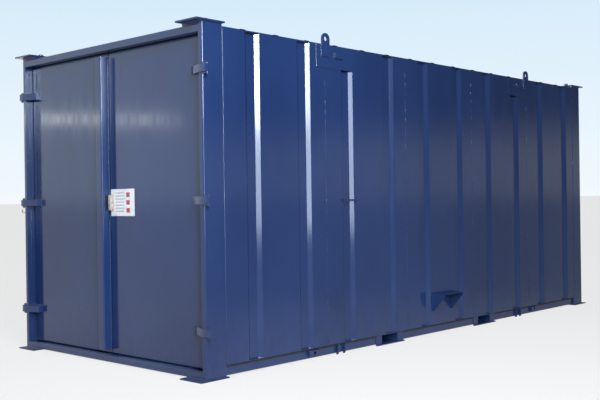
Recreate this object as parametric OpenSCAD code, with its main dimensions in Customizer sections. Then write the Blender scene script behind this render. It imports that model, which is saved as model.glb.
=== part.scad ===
// Portable site cabin: a steel secure store with a pair of doors in one short end.
// X runs across, Y runs along with the doors at the low end, and Z is up.
// The origin is the middle of the footprint, on the ground.

/* [Overall] */
// Width over the corner posts
cabin_w = 2438; // [2000:1:3000]
// Length over the corner posts
cabin_l = 5930; // [4900:1:7200]
// Height of the flat roof above the ground
roof_z = 2562; // [2100:1:3100]

/* [Posts and plates] */
// Width of a post's narrow front flange
post_flange = 42; // [30:1:80]
// Width of a post behind the doors
post_w = 92; // [80:1:140]
// Depth of a post along the long side
post_d = 199; // [180:1:260]
// Thickness of the folded steel in posts, rails, sill and header
fold_t = 4; // [3:0.5:8]
// How far a plate reaches across, inwards from the post's outer face
plate_in = 222; // [150:1:300]
// How far a plate overhangs the post's outer face
plate_side = 17; // [5:1:40]
// How far a plate overhangs the end of the cabin
plate_end = 65; // [20:1:100]
// How far a plate reaches along the long side
plate_back = 209; // [150:1:300]
// Thickness of a foot plate
foot_t = 10; // [6:1:20]
// Thickness of a stacking plate
stack_t = 12; // [6:1:20]
// Gap between the roof and the stacking plates
stack_gap = 21; // [10:1:60]
// Radius of a stacking peg
peg_r = 22; // [12:0.5:26]
// Height of a stacking peg
peg_h = 30; // [16:1:36]
// Play of a stacking peg in its hole
peg_play = 4; // [1:0.5:8]
// Distance of a stacking peg behind the cabin's end
peg_back = 124; // [90:1:150]

/* [Rails, sill and header] */
// Ground clearance of the sills and rails
rail_z = 12; // [5:1:40]
// Height of the side walls' lower edge above the ground
wall_z = 97; // [80:1:160]
// How far the bottom rails are set back under the walls
rail_setback = 25; // [0:1:60]
// Reach of a bottom rail's flanges
rail_flange = 100; // [60:1:160]
// Top of the doorway sill above the ground
sill_z = 62; // [40:1:90]
// Height of the front header
header_h = 57; // [40:1:120]
// Depth of the door recess behind the front plane
recess = 76; // [50:1:120]
// How far the door stop laps behind the leaves
stop_lap = 35; // [20:1:60]
// Thickness of the roof's edge over the walls
eave_h = 11; // [8:0.5:30]
// Height of the top rails
top_rail_h = 46; // [30:1:100]
// Width of the top rails
top_rail_w = 50; // [30:1:100]

/* [Walls and roof] */
// Thickness of the wall and roof sheet
sheet_t = 3; // [1.5:0.5:5]
// Number of wall panels along a side
side_panels = 5; // [4:1:7]
// Number of wall panels across the rear end
end_panels = 2; // [1:1:3]
// Flat width before a panel's first groove
groove_lead = 222; // [120:1:260]
// Flat width after a panel's second groove
groove_tail = 160; // [120:1:260]
// Opening width of a groove
groove_w = 155; // [100:1:180]
// Depth of a groove
groove_d = 30; // [15:1:45]
// Run of a groove's slanted side
groove_run = 36; // [10:1:45]
// Height of the raised swages across the roof
swage_h = 5; // [2:0.5:15]
// Width of a roof swage
swage_w = 70; // [40:1:120]
// Distance between the roof swages
swage_pitch = 353; // [250:1:600]
// Distance from the roof sheet's front edge to its first swage
swage_lead = 201; // [100:1:400]

/* [Floor] */
// Thickness of the plywood floor
deck_t = 18; // [12:1:30]
// Number of floor bearers
bearer_count = 11; // [7:1:15]
// Width of a floor bearer
bearer_w = 50; // [30:1:80]
// Number of roof bows
bow_count = 10; // [6:1:14]
// Depth of a roof bow
bow_h = 50; // [30:1:80]

/* [Fork pockets] */
// Distance between the fork pockets' centres
pocket_spacing = 1580; // [900:1:2200]
// Clear width of a fork pocket
pocket_w = 228; // [150:1:360]
// Clear height of a fork pocket
pocket_h = 74; // [60:1:76]
// Thickness of a fork pocket's sides
pocket_t = 6; // [4:0.5:10]
// Width of the collar plate on each side of a pocket
collar_w = 78; // [40:1:120]

/* [Lifting and lashing] */
// Radius of a lifting lug's rounded head
lug_r = 47; // [35:1:70]
// Distance of a lug's centre past the nearest panel joint
lug_shift = 11; // [0:1:30]
// Height of a lifting eye above the roof
eye_rise = 41; // [30:1:80]
// Radius of a lifting eye
eye_r = 21; // [10:0.5:30]
// Thickness of a lifting lug
lug_t = 15; // [8:1:25]
// How far a lug reaches down its backing plate
lug_drop = 105; // [60:1:150]
// Thickness of a backing plate
pad_t = 8; // [4:1:12]
// Reach of a backing plate towards the cabin's end
pad_out = 99; // [60:1:110]
// Reach of a backing plate towards the cabin's middle
pad_in = 358; // [230:1:400]
// Depth of a backing plate below the roof
pad_h = 186; // [120:1:260]
// Gap from the roof's top to a backing plate
pad_gap = 8; // [4:1:30]
// Length of the sling keeper block
keeper_l = 100; // [40:1:140]
// Distance from the lug's centre to its keeper block
keeper_gap = 113; // [75:1:130]
// Distance of the hanging skid plates from the cabin's middle
skid_offset = 1471.5; // [1200:0.5:1700]
// Distance between the outer faces of a pair of skid plates
skid_w = 97; // [60:1:130]
// Distance of the lashing brackets from the cabin's middle
lash_offset = 1809; // [1650:1:2100]

/* [Doors] */
// Thickness of a door leaf
leaf_t = 50; // [30:1:60]
// Thickness of a leaf's skin
skin_t = 3; // [1.5:0.5:5]
// Gap between a leaf and what surrounds it
leaf_gap = 8; // [6:0.5:12]
// Gap between a leaf and the stop behind it
stop_gap = 6; // [5:0.5:12]
// Gap under the leaves
leaf_low_gap = 10; // [6:1:20]
// Where the leaves meet, measured from the middle
seam_x = -20.5; // [-120:0.5:120]
// Gap between the leaves
seam_gap = 14; // [13.5:0.5:20]
// Width of a leaf's folded edge frame
frame_w = 60; // [40:1:100]
// Width of the closing stile
stile_w = 84; // [50:1:120]
// Shortening of the stile at its top and bottom
stile_short = 32; // [10:1:60]
// Distance from a leaf's lower edge to its lowest hinge
hinge_low = 280; // [150:1:400]
// Distance from a leaf's upper edge to its highest hinge
hinge_high = 260; // [150:1:400]
// Height of a hinge strap
strap_h = 56; // [40:1:110]
// Thickness of a hinge strap
strap_t = 8; // [5:0.5:12]
// How far a strap reaches in from the post's outer face
strap_reach = 159; // [120:1:260]
// How far a strap's inner end stands off the leaf
strap_rise = 40; // [15:1:60]
// Distance of the hinge axis outside the post
pivot_out = 34; // [32:0.5:60]
// Distance of the hinge axis behind the front plane
pivot_back = 14; // [8:0.5:16]
// Radius of a hinge pin
pin_r = 7; // [5:0.5:8]
// Radius of a hinge knuckle
knuckle_r = 11; // [10:0.5:14]
// Thickness of a fixed hinge ear
ear_t = 10; // [8:0.5:20]

/* [Small fittings] */
// Length of the side hood
hood_l = 309; // [150:1:350]
// How far the side hood stands out
hood_out = 136; // [60:1:160]
// Height of the side hood's top above the ground
hood_z = 397; // [320:1:900]
// Height of the side hood's cheeks
hood_h = 175; // [100:1:200]
// Height of the door holding bars and hook
hold_z = 1281; // [900:1:1500]
// Radius of the holding bars
hold_r = 8; // [5:0.5:12]
// Width of the blank notice plate
notice_w = 310; // [150:1:420]
// Height of the blank notice plate
notice_h = 216; // [100:1:300]
// Height of the notice plate's middle above the ground
notice_z = 1288; // [1100:1:1600]
// Thickness of the notice plate
notice_t = 2; // [1:0.5:4]

/* [Hidden] */

$fn = 48;
navy = "#2f4368";
zinc = "#b9b6ac";
ply = "#a98a5f";
white = "#eceef0";

// Play at a turning pin, and the seat between two curved faces
run_fit = 0.06;
seat = 0.3;
// Inner edge of a hole through a wall, so that a cut leaves nothing behind
through = 1;

half_w = cabin_w / 2;
half_l = cabin_l / 2;
front_y = -half_l;
wall_y0 = front_y + post_d;
wall_y1 = half_l - post_d;
side_pitch = (wall_y1 - wall_y0) / side_panels;

stop_y = recess + leaf_t + stop_gap;
leaf_z0 = sill_z + leaf_low_gap;
leaf_z1 = roof_z - header_h - stop_gap;
leaf_h = leaf_z1 - leaf_z0;
leaf_edge_x = half_w - post_flange - leaf_gap;
leaf_y = front_y + recess;
seam_left = seam_x - seam_gap / 2;
seam_right = seam_x + seam_gap / 2;

stack_z = roof_z + stack_gap;
plate_top_z = stack_z + stack_t;
box_x = half_w - plate_in + fold_t;
peg_x = half_w + (plate_side - plate_in) / 2;
peg_y = front_y + peg_back;
socket_r = peg_r + peg_play;
deck_z = wall_z + deck_t;
rail_top_z = wall_z - fold_t;
roof_under_z = roof_z - fold_t;
wall_top_z = roof_z - eave_h;
wall_depth = groove_d + sheet_t;
lug_out = half_w + pad_t;
eye_z = roof_z + eye_rise;

pivot_x = half_w + pivot_out;
pivot_y = front_y + pivot_back;
hinge_z0 = leaf_z0 + hinge_low;
hinge_z2 = leaf_z1 - hinge_high;
hinge_zs = [hinge_z0, (hinge_z0 + hinge_z2) / 2, hinge_z2];
ear_gap = 1;
ear_low = strap_h / 2 + ear_gap;
strap_gap = 5;

pocket_ys = [-pocket_spacing / 2, pocket_spacing / 2];
pocket_outer = pocket_w + 2 * pocket_t;
lug_ys = [wall_y0 + side_pitch + lug_shift, wall_y1 - side_pitch - lug_shift];
hold_y = wall_y0 + side_pitch + groove_lead;

// ---- helpers -------------------------------------------------------------

// Extrudes an outline drawn in (x, z) from y0 to y1
module along_y(y0, y1) {
    translate([0, y1, 0]) rotate([90, 0, 0]) linear_extrude(y1 - y0) children();
}

// Extrudes an outline drawn in (y, z) from x0 to x1
module along_x(x0, x1) {
    translate([x0, 0, 0]) rotate([90, 0, 90]) linear_extrude(x1 - x0) children();
}

// A box given by its two corners
module block(low, high) {
    translate(low) cube(high - low);
}

// The same thing on the left-hand side as on the right
module left_hand() {
    mirror([1, 0, 0]) children();
}

// The same thing at the rear end as at the front
module rear_end() {
    mirror([0, 1, 0]) children();
}

// All four corners of a thing drawn at the front right
module four_corners() {
    children();
    left_hand() children();
    rear_end() children();
    left_hand() rear_end() children();
}

// Both long sides of a thing drawn on the right
module both_sides() {
    children();
    left_hand() children();
}

// The bends of one groove: each point is [depth, place along the wall]
function groove_bends(start, bend) = [
    [0, start - bend],
    [groove_d, start + groove_run - bend],
    [groove_d, start + groove_w - groove_run + bend],
    [0, start + groove_w + bend]
];

// Where the grooves of a wall start, two to a panel
function groove_starts(from, pitch, count) = [
    for (i = [0 : count - 1])
        each [
            from + i * pitch + groove_lead,
            from + (i + 1) * pitch - groove_tail - groove_w
        ]
];

// Outline of a grooved sheet in (depth, place), as [inward, along] pairs
function sheet_outline(from, to, pitch, count) =
    let (
        starts = groove_starts(from, pitch, count),
        bend = sheet_t * tan(atan2(groove_d, groove_run) / 2),
        face = concat([[0, from]], [for (s = starts) each groove_bends(s, 0)], [[0, to]]),
        back = concat([[0, from]], [for (s = starts) each groove_bends(s, bend)], [[0, to]]),
        last = len(back) - 1
    )
    concat(face, [for (i = [0 : last]) back[last - i] + [sheet_t, 0]]);

// ---- posts and plates ----------------------------------------------------

// A front post has a rebate that the door leaf closes into
module post_front_right() {
    t = fold_t;
    x1 = half_w;
    y0 = front_y;
    color(navy) difference() {
        union() {
            difference() {
                translate([0, 0, foot_t]) linear_extrude(roof_z - foot_t) polygon([
                    [x1, y0], [x1 - post_flange, y0], [x1 - post_flange, y0 + stop_y],
                    [x1 - post_w, y0 + stop_y], [x1 - post_w, y0 + post_d], [x1, y0 + post_d]
                ]);
                translate([0, 0, foot_t - through]) linear_extrude(roof_z - foot_t - t + through) polygon([
                    [x1 - t, y0 + t], [x1 - post_flange + t, y0 + t],
                    [x1 - post_flange + t, y0 + stop_y + t], [x1 - post_w + t, y0 + stop_y + t],
                    [x1 - post_w + t, y0 + post_d - t], [x1 - t, y0 + post_d - t]
                ]);
            }
            post_ends();
        }
        peg_room();
    }
}

// A rear post is a plain folded box
module post_rear_right() {
    t = fold_t;
    color(navy) rear_end() difference() {
        union() {
            difference() {
                block([half_w - post_w, front_y, foot_t], [half_w, front_y + post_d, roof_z]);
                block([half_w - post_w + t, front_y + t, foot_t - through],
                    [half_w - t, front_y + post_d - t, roof_z - t]);
            }
            post_ends();
        }
        peg_room();
    }
}

// The wider boxes at a post's head and foot, drawn at the front right
module post_ends() {
    t = fold_t;
    y1 = front_y + post_d;
    difference() {
        block([box_x, front_y, roof_z], [half_w, y1, stack_z]);
        block([box_x + t, front_y + t, roof_z + t], [half_w - t, y1 - t, stack_z + through]);
    }
    difference() {
        block([box_x, front_y, foot_t], [half_w, y1, sill_z]);
        block([box_x + t, front_y + t, foot_t - through], [half_w - t, y1 - t, sill_z - t]);
    }
}

// Room in a post's foot for the stacking peg of a cabin below
module peg_room() {
    translate([peg_x, peg_y, foot_t - through])
        cylinder(h = peg_h + through + 4, r = socket_r + 2);
}

// One plate under or on a post, drawn at the front right
module corner_plate(z, thick) {
    block([half_w - plate_in, front_y - plate_end, z],
        [half_w + plate_side, front_y + plate_back, z + thick]);
}

module foot_plates() {
    color(navy) four_corners() difference() {
        corner_plate(0, foot_t);
        translate([peg_x, peg_y, -through]) cylinder(h = foot_t + 2 * through, r = socket_r);
    }
}

module stacking_plates() {
    color(navy) four_corners() corner_plate(stack_z, stack_t);
}

module stacking_pegs() {
    tip = 8;
    color(navy) four_corners() translate([peg_x, peg_y, plate_top_z]) {
        cylinder(h = peg_h - tip, r = peg_r);
        translate([0, 0, peg_h - tip]) cylinder(h = tip, r1 = peg_r, r2 = peg_r - tip);
    }
}

// ---- sills, headers and rails --------------------------------------------

// A hollow folded box between two corners, open at neither end
module folded_box(low, high) {
    t = [fold_t, fold_t, fold_t];
    difference() {
        block(low, high);
        block(low + t, high - t);
    }
}

module front_header() {
    z0 = roof_z - header_h;
    wide = half_w - post_flange;
    narrow = half_w - post_w;
    color(navy) {
        folded_box([-wide, front_y, z0], [wide, front_y + stop_y, roof_z]);
        folded_box([-narrow, front_y + stop_y, z0 - stop_lap], [narrow, front_y + post_d, roof_z]);
    }
}

module front_sill() {
    stop = half_w - post_w;
    y1 = front_y + post_d;
    color(navy) {
        folded_box([-box_x, front_y, rail_z], [box_x, front_y + stop_y, sill_z]);
        folded_box([-box_x, front_y + stop_y, rail_z], [box_x, y1, deck_z]);
        both_sides() folded_box([box_x, front_y + stop_y, sill_z], [stop, y1, deck_z]);
    }
}

module rear_header() {
    reach = half_w - post_w;
    color(navy) {
        folded_box([-reach, half_l - post_d, wall_top_z - top_rail_h], [reach, half_l - wall_depth, wall_top_z]);
        block([-reach, half_l - post_d, wall_top_z], [reach, half_l, roof_z]);
    }
}

module rear_sill() {
    reach = half_w - post_w;
    y0 = half_l - post_d;
    color(navy) {
        folded_box([-box_x, y0, rail_z], [box_x, half_l, wall_z]);
        both_sides() folded_box([box_x, y0, sill_z], [reach, half_l, wall_z]);
    }
}

// One stretch of bottom rail: a channel whose top flange reaches out to the wall
module rail_stretch(y0, y1) {
    x1 = half_w;
    web = half_w - rail_setback;
    inner = half_w - rail_flange;
    t = fold_t;
    along_y(y0, y1) polygon([
        [x1, wall_z], [x1, rail_top_z], [web, rail_top_z], [web, rail_z], [inner, rail_z],
        [inner, rail_z + t], [web - t, rail_z + t], [web - t, rail_top_z],
        [inner, rail_top_z], [inner, wall_z]
    ]);
}

module bottom_rail_right() {
    half_pocket = pocket_outer / 2;
    color(navy) {
        rail_stretch(wall_y0, pocket_ys[0] - half_pocket);
        rail_stretch(pocket_ys[0] + half_pocket, pocket_ys[1] - half_pocket);
        rail_stretch(pocket_ys[1] + half_pocket, wall_y1);
    }
}

// A box rail behind the wall, with a flange over the wall's top edge
module top_rail_right() {
    t = fold_t;
    outer = half_w - wall_depth;
    inner = outer - top_rail_w;
    low = wall_top_z - top_rail_h;
    color(navy) difference() {
        union() {
            block([inner, wall_y0, low], [outer, wall_y1, wall_top_z]);
            block([inner, wall_y0, wall_top_z], [half_w, wall_y1, roof_under_z]);
        }
        block([inner + t, wall_y0 - through, low + t], [outer - t, wall_y1 + through, wall_top_z - t]);
    }
}

// ---- fork pockets and floor ----------------------------------------------

// A tube right across the cabin, with a collar plate on each face
module fork_pocket(y) {
    reach = half_w - rail_setback;
    collar = pocket_outer / 2 + collar_w;
    face = reach + pocket_t;
    clear = pocket_w / 2;
    color(navy) difference() {
        union() {
            block([-reach, y - pocket_outer / 2, 0], [reach, y + pocket_outer / 2, rail_top_z]);
            both_sides() {
                block([reach, y - collar, 0], [face, y + collar, rail_top_z]);
                block([reach, y - collar, 0], [half_w, y + collar, foot_t]);
            }
        }
        block([-half_w - through, y - clear, foot_t], [half_w + through, y + clear, foot_t + pocket_h]);
    }
}

module fork_pocket_front() {
    fork_pocket(pocket_ys[0]);
}

module fork_pocket_rear() {
    fork_pocket(pocket_ys[1]);
}

// True where a bearer centred on y would run into a fork pocket
function in_pocket(y) =
    len([for (p = pocket_ys) if (abs(y - p) < (pocket_outer + bearer_w) / 2 + fold_t) p]) > 0;

// Channel bearers between the bottom rails, open towards the rear
module floor_bearers() {
    reach = half_w - rail_setback - fold_t;
    flat = half_w - rail_flange;
    low = rail_z + fold_t;
    t = fold_t;
    gap = (wall_y1 - wall_y0) / (bearer_count + 1);
    color(navy) for (i = [1 : bearer_count]) {
        y = wall_y0 + i * gap;
        if (!in_pocket(y)) {
            along_x(-reach, reach) polygon([
                [y, low], [y + bearer_w, low], [y + bearer_w, low + t], [y + t, low + t],
                [y + t, rail_top_z - t], [y + bearer_w, rail_top_z - t],
                [y + bearer_w, rail_top_z], [y, rail_top_z]
            ]);
            block([-flat, y, rail_top_z], [flat, y + bearer_w, wall_z]);
        }
    }
}

module floor_deck() {
    clear = wall_depth + 2;
    reach = half_w - clear;
    narrow = half_w - post_w;
    color(ply) {
        block([-reach, wall_y0, wall_z], [reach, wall_y1, deck_z]);
        block([-narrow, wall_y1, wall_z], [narrow, half_l - clear, deck_z]);
    }
}

// ---- walls and roof ------------------------------------------------------

module side_wall_right() {
    outline = sheet_outline(wall_y0, wall_y1, side_pitch, side_panels);
    color(navy) translate([0, 0, wall_z]) linear_extrude(wall_top_z - wall_z)
        polygon([for (p = outline) [half_w - p[0], p[1]]]);
}

module rear_wall() {
    reach = half_w - post_w;
    pitch = 2 * reach / end_panels;
    outline = sheet_outline(-reach, reach, pitch, end_panels);
    color(navy) translate([0, 0, wall_z]) linear_extrude(wall_top_z - wall_z)
        polygon([for (p = outline) [p[1], half_l - p[0]]]);
}

// Flat sheet with low swages pressed up across it
module roof_sheet() {
    slope = 3 * swage_h;
    last = floor((wall_y1 - wall_y0 - swage_lead - swage_w) / swage_pitch);
    starts = [for (i = [0 : last]) wall_y0 + swage_lead + i * swage_pitch - swage_w / 2];
    bumps = [for (s = starts) each [
        [s, 0], [s + slope, swage_h], [s + swage_w - slope, swage_h], [s + swage_w, 0]
    ]];
    ends = [wall_y0, wall_y1];
    count = len(bumps);
    color(navy) along_x(-half_w, half_w) polygon(concat(
        [[ends[0], roof_z]],
        [for (b = bumps) [b[0], roof_z + b[1]]],
        [[ends[1], roof_z], [ends[1], roof_under_z]],
        [for (i = [1 : count]) [bumps[count - i][0], roof_under_z + bumps[count - i][1]]],
        [[ends[0], roof_under_z]]
    ));
}

// Light channels that hold the roof sheet between the top rails
module roof_bows() {
    reach = half_w - wall_depth - top_rail_w;
    t = fold_t;
    gap = (wall_y1 - wall_y0) / (bow_count + 1);
    low = roof_under_z - bow_h;
    color(navy) for (i = [1 : bow_count]) {
        y = wall_y0 + i * gap - bow_h / 2;
        along_x(-reach, reach) polygon([
            [y, low], [y + bow_h, low], [y + bow_h, low + t], [y + t, low + t],
            [y + t, roof_under_z - t], [y + bow_h, roof_under_z - t],
            [y + bow_h, roof_under_z], [y, roof_under_z]
        ]);
    }
}

// ---- lifting and lashing -------------------------------------------------

// Draws a thing made for the front right lug at all four lugs
module at_lugs() {
    both_sides() {
        translate([0, lug_ys[0], 0]) children();
        translate([0, lug_ys[1], 0]) rear_end() children();
    }
}

module backing_plates() {
    high = roof_z - pad_gap;
    color(navy) at_lugs() block([half_w, -pad_out, high - pad_h], [lug_out, pad_in, high]);
}

module lifting_lugs() {
    low = roof_z - lug_drop;
    color(navy) at_lugs() difference() {
        union() {
            translate([lug_out, 0, eye_z]) rotate([0, 90, 0]) cylinder(h = lug_t, r = lug_r);
            block([lug_out, -lug_r, low], [lug_out + lug_t, lug_r, eye_z]);
        }
        translate([lug_out - through, 0, eye_z]) rotate([0, 90, 0])
            cylinder(h = lug_t + 2 * through, r = eye_r);
    }
}

// Small blocks that keep a sling beside its lug
module sling_keepers() {
    keeper_t = 20;
    keeper_h = 46;
    keeper_z = roof_z - 107;
    color(navy) at_lugs() block([lug_out, keeper_gap, keeper_z],
        [lug_out + keeper_t, keeper_gap + keeper_l, keeper_z + keeper_h]);
}

// Pairs of upright plates that hang under the bottom rails to the ground
module skid_plates() {
    skid_t = 10;
    web = half_w - rail_setback;
    low_w = 24;
    color(navy) both_sides() for (end = [-1, 1], face = [-1, 1]) {
        y = end * skid_offset + face * (skid_w - skid_t) / 2 - skid_t / 2;
        along_y(y, y + skid_t) polygon([
            [web, rail_top_z], [web, 0], [web + low_w / 2, 0], [half_w - 2, rail_z],
            [half_w - 2, rail_top_z]
        ]);
    }
}

// Folded brackets with a lashing eye, on the bottom rails
module lashing_brackets() {
    web = half_w - rail_setback;
    eye = 14;
    bracket_t = 6;
    half_b = 62;
    low = 30;
    high = 76;
    color(navy) both_sides() for (end = [-1, 1]) translate([0, end * lash_offset, 0]) difference() {
        along_x(web, half_w) polygon([
            [-half_b, low], [half_b, low], [half_b, high], [-half_b, high]
        ]);
        block([web - through, -half_b + bracket_t, low + bracket_t],
            [half_w - bracket_t, half_b - bracket_t, high - bracket_t]);
        translate([web, 0, (low + high) / 2]) rotate([0, 90, 0])
            cylinder(h = rail_setback + through, r = eye);
    }
}

// ---- small fittings on the walls -----------------------------------------

// A small weather hood: a top plate with two slanted cheeks, open below
module side_hoods() {
    t = 4;
    fall = 12;
    panel = floor(side_panels / 2);
    flat_mid = wall_y0 + panel * side_pitch + (groove_lead + side_pitch - groove_tail) / 2;
    y0 = flat_mid - hood_l / 2 - 20;
    y1 = y0 + hood_l;
    out = half_w + hood_out;
    color(navy) both_sides() {
        along_y(y0, y1) polygon([
            [half_w, hood_z], [half_w, hood_z - t], [out, hood_z - fall - t], [out, hood_z - fall]
        ]);
        for (y = [y0, y1 - t]) along_y(y, y + t) polygon([
            [half_w, hood_z - t], [half_w, hood_z - hood_h], [half_w + 14, hood_z - hood_h],
            [out, hood_z - fall - t - 22], [out, hood_z - fall - t]
        ]);
    }
}

// Round bars across a groove, for holding an open door back
module holding_bars() {
    mid = hold_y + groove_w / 2;
    lap = 12;
    color(navy) both_sides() translate([half_w + hold_r + seat, mid - groove_w / 2 - lap, hold_z])
        rotate([-90, 0, 0]) cylinder(h = groove_w + 2 * lap, r = hold_r);
}

// A cranked hook on the left post, just below the middle hinge
module stay_hook() {
    hook_t = 10;
    z = hinge_zs[1] - 92;
    x = -half_w;
    color(zinc) {
        block([x - 52, front_y + 6, z], [x, front_y + 6 + hook_t, z + hook_t]);
        block([x - 62, front_y + 6, z], [x - 52, front_y + 6 + hook_t, z + 34]);
    }
}

// ---- hinges --------------------------------------------------------------

// The fixed halves of the right-hand hinges: two ears and a pin each
module hinge_pins_right() {
    head = 5;
    color(navy) for (z = hinge_zs) {
        for (low = [z - ear_low - ear_t, z + ear_low]) {
            block([half_w, pivot_y - knuckle_r, low], [pivot_x, pivot_y + knuckle_r, low + ear_t]);
            translate([pivot_x, pivot_y, low]) cylinder(h = ear_t, r = knuckle_r);
        }
        translate([pivot_x, pivot_y, z - ear_low - ear_t - head])
            cylinder(h = 2 * (ear_low + ear_t + head), r = pin_r);
    }
}

// The moving halves: folded straps from the leaf, round the post, to a knuckle
module hinge_straps_right() {
    t = strap_t;
    face = front_y - strap_gap;
    knee = half_w - post_flange + t;
    tip = half_w - strap_reach;
    tip_y = leaf_y - strap_rise;
    edge = leaf_edge_x;
    far = edge + through;
    color(navy) for (z = hinge_zs) translate([0, 0, z]) difference() {
        union() {
            linear_extrude(strap_h, center = true) polygon([
                [pivot_x, face - t], [knee, face - t], [tip, tip_y], [tip, leaf_y],
                [edge, leaf_y], [edge, face], [pivot_x, face]
            ]);
            linear_extrude(strap_h, center = true) polygon([
                [pivot_x - knuckle_r, face], [pivot_x, face - t], [pivot_x + knuckle_r, face],
                [pivot_x + knuckle_r, pivot_y], [pivot_x - knuckle_r, pivot_y]
            ]);
            turn_cylinder(strap_h, knuckle_r);
        }
        linear_extrude(strap_h - 2 * t, center = true) polygon([
            [far, face], [knee, face], [tip + t, tip_y + t / 2],
            [tip + t, leaf_y + through], [far, leaf_y + through]
        ]);
        turn_cylinder(strap_h + 2 * through, pin_r + run_fit);
    }
}

// A cylinder on the right-hand hinge axis, centred on the strap's height
module turn_cylinder(height, radius) {
    translate([pivot_x, pivot_y, -height / 2]) cylinder(h = height, r = radius);
}

// ---- doors ---------------------------------------------------------------

// A leaf's folded edge frame with two cross rails, from x0 to x1
module leaf_frame(x0, x1) {
    y0 = leaf_y + skin_t;
    y1 = leaf_y + leaf_t;
    rails = [leaf_z0 + leaf_h / 3, leaf_z0 + 2 * leaf_h / 3];
    stops = concat([leaf_z0 + frame_w], [for (r = rails) each [r - frame_w / 2, r + frame_w / 2]],
        [leaf_z1 - frame_w]);
    difference() {
        block([x0, y0, leaf_z0], [x1, y1, leaf_z1]);
        for (i = [0 : 2]) block([x0 + frame_w, y0 - through, stops[2 * i]],
            [x1 - frame_w, y1 + through, stops[2 * i + 1]]);
    }
}

module leaf_skin(x0, x1) {
    block([x0, leaf_y, leaf_z0], [x1, leaf_y + skin_t, leaf_z1]);
}

module door_left_frame() {
    color(navy) leaf_frame(-leaf_edge_x, seam_left);
}

module door_left_skin() {
    color(navy) leaf_skin(-leaf_edge_x, seam_left);
}

module door_right_frame() {
    color(navy) leaf_frame(seam_right, leaf_edge_x);
}

module door_right_skin() {
    color(navy) leaf_skin(seam_right, leaf_edge_x);
}

// Full-height box section on the left leaf that stands out to the front plane
module closing_stile() {
    t = 3;
    proud = 3;
    x1 = seam_left;
    x0 = x1 - stile_w;
    y0 = front_y + proud;
    z0 = leaf_z0 + stile_short - 6;
    z1 = leaf_z1 - stile_short;
    color(navy) difference() {
        block([x0, y0, z0], [x1, leaf_y, z1]);
        block([x0 + t, y0 + t, z0 - through], [x1 - t, leaf_y - t, z1 + through]);
    }
}

// A thin plate on the stile's closing face, around the lock
module lock_plate() {
    color(navy) block([seam_left, front_y + 14, notice_z - 103], [seam_left + 2, leaf_y - 12, notice_z + 103]);
}

// The lock's case, fixed on the notice plate's end beside the stile
module lock_case() {
    depth = 34;
    case_w = 42;
    case_h = 124;
    color(zinc) block([seam_right + 8, leaf_y - depth, notice_z - case_h / 2],
        [seam_right + 8 + case_w, leaf_y - notice_t, notice_z + case_h / 2]);
}

// A blank plate on the right leaf, which starts beside the stile
module notice_plate() {
    x0 = seam_right + 5;
    color(white) block([x0, leaf_y - notice_t, notice_z - notice_h / 2],
        [x0 + notice_w, leaf_y, notice_z + notice_h / 2]);
}

left_hand() post_front_right();  // post_front_left
post_front_right();
left_hand() post_rear_right();  // post_rear_left
post_rear_right();
foot_plates();
stacking_plates();
stacking_pegs();
front_header();
front_sill();
rear_header();
rear_sill();
left_hand() bottom_rail_right();  // bottom_rail_left
bottom_rail_right();
left_hand() top_rail_right();  // top_rail_left
top_rail_right();
fork_pocket_front();
fork_pocket_rear();
floor_bearers();
floor_deck();
left_hand() side_wall_right();  // side_wall_left
side_wall_right();
rear_wall();
roof_sheet();
roof_bows();
backing_plates();
lifting_lugs();
sling_keepers();
skid_plates();
lashing_brackets();
side_hoods();
holding_bars();
stay_hook();
left_hand() hinge_pins_right();  // hinge_pins_left
hinge_pins_right();
door_left_frame();
door_left_skin();
closing_stile();
lock_plate();
left_hand() hinge_straps_right();  // hinge_straps_left
door_right_frame();
door_right_skin();
lock_case();
notice_plate();
hinge_straps_right();
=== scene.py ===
"""Looks for a portable site cabin: a navy steel store with two doors in its front end.

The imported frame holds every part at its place. This script rounds the folded steel, adds
the welds, seals, boards and small fittings, paints all of it and sets up the studio.
"""

import logging
import math
from dataclasses import dataclass
from enum import Enum
from typing import Callable, Iterable, Optional

import bmesh
import bpy
from mathutils import Euler, Matrix, Vector


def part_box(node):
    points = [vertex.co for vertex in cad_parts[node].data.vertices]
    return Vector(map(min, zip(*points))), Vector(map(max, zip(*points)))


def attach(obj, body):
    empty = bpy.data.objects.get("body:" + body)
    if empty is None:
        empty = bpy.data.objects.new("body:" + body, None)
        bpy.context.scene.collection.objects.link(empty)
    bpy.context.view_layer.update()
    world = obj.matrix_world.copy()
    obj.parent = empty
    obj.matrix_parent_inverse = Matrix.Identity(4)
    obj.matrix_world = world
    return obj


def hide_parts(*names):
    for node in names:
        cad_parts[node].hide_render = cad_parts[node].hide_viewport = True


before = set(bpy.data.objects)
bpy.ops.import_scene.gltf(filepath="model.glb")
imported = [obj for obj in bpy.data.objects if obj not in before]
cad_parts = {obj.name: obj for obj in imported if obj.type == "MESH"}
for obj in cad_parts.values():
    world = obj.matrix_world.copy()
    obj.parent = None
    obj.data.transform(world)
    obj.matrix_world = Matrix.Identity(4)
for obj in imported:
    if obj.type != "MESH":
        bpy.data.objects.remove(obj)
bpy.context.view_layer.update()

Point = tuple[float, float, float]
Piece = bpy.types.Object
Tree = bpy.types.NodeTree
Socket = bpy.types.NodeSocket
Edge = bmesh.types.BMEdge

# Where the three hinges of each door are, up from the ground
HINGE_HEIGHTS = (0.352, 1.2955, 2.239)
# Edges of a new piece that turn more than this are rounded
SHARP = math.radians(40)
log = logging.getLogger("cabin")


class Side(Enum):
    """A long side of the cabin, as seen from the doors. Its value is the sign of X."""

    RIGHT = 1
    LEFT = -1


class Axis(Enum):
    """A direction that folds, rods and rows run in. Its value is the place in a point."""

    X = 0
    Y = 1
    Z = 2


class Body(Enum):
    """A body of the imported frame."""

    CABIN = "cabin"
    LEFT_DOOR = "left_door"
    RIGHT_DOOR = "right_door"


# ---- shader helpers --------------------------------------------------------


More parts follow.
